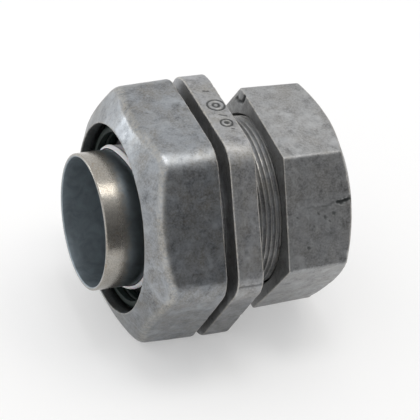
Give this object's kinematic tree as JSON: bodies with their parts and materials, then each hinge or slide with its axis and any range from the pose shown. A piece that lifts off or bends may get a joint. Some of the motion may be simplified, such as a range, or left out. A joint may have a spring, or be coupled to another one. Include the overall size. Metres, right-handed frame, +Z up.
{
  "type": "conduit compression fitting",
  "caption": "Hexagonal coupling that joins liquid-tight flexible conduit, gripped by a ferrule and gland nut, to thin-wall steel tube, gripped by a compression nut.",
  "frame": {"origin": "on the fitting's axis, half way along its length, which is the centre of its box", "axes": "+X along the axis towards the compression nut, the ferrule at -X; +Z up, the fitting lies on the flats of its hexagons"},
  "size_m": [0.0638, 0.0664, 0.0596],
  "materials": {
    "zinc_body": "die-cast zinc, dull grey, as cast",
    "zinc_gland_nut": "die-cast zinc, tumbled, slightly bluish grey",
    "zinc_compression_nut": "die-cast zinc, grainy and dull",
    "plated_steel": "zinc-plated steel, satin, warm tint",
    "white_nylon": "natural nylon, satin",
    "seal_rubber": "dark moulded seal",
    "spring_steel": "plated spring steel"
  },
  "bodies": {
    "body": {"body": "zinc_body"},
    "ferrule": {"ferrule": "plated_steel"},
    "nylon_collar": {"nylon_collar": "white_nylon"},
    "sealing_ring": {"sealing_ring": "seal_rubber"},
    "gland_nut": {"gland_nut": "zinc_gland_nut"},
    "compression_rings": {"compression_ring": "spring_steel", "slip_washer": "spring_steel", "rain_seal_ring": "seal_rubber"},
    "compression_nut": {"compression_nut": "zinc_compression_nut"}
  },
  "joints": [
    {"name": "ferrule_spin", "type": "hinge", "parent": "body", "child": "ferrule", "pos_m": [0, 0, 0], "axis": [1, 0, 0], "continuous": true},
    {"name": "collar_slide", "type": "slide", "parent": "ferrule", "child": "nylon_collar", "axis": [1, 0, 0], "range_m": [0, 0.0108]},
    {"name": "gland_advance", "type": "slide", "parent": "body", "child": "sealing_ring", "axis": [-1, 0, 0], "range_m": [-0.0024, 0.0088]},
    {"name": "gland_nut_turn", "type": "hinge", "parent": "sealing_ring", "child": "gland_nut", "pos_m": [0, 0, 0], "axis": [-1, 0, 0], "range_deg": [-540, 1980]},
    {"name": "compression_advance", "type": "slide", "parent": "body", "child": "compression_rings", "axis": [1, 0, 0], "range_m": [-0.00096, 0.0096]},
    {"name": "compression_nut_turn", "type": "hinge", "parent": "compression_rings", "child": "compression_nut", "pos_m": [0, 0, 0], "axis": [1, 0, 0], "range_deg": [-270, 2700]}
  ],
  "couplings": [
    {"joint": "gland_advance", "follows": "gland_nut_turn", "m_per_rad": 0.00025266},
    {"joint": "compression_advance", "follows": "compression_nut_turn", "m_per_rad": 0.00020213}
  ]
}
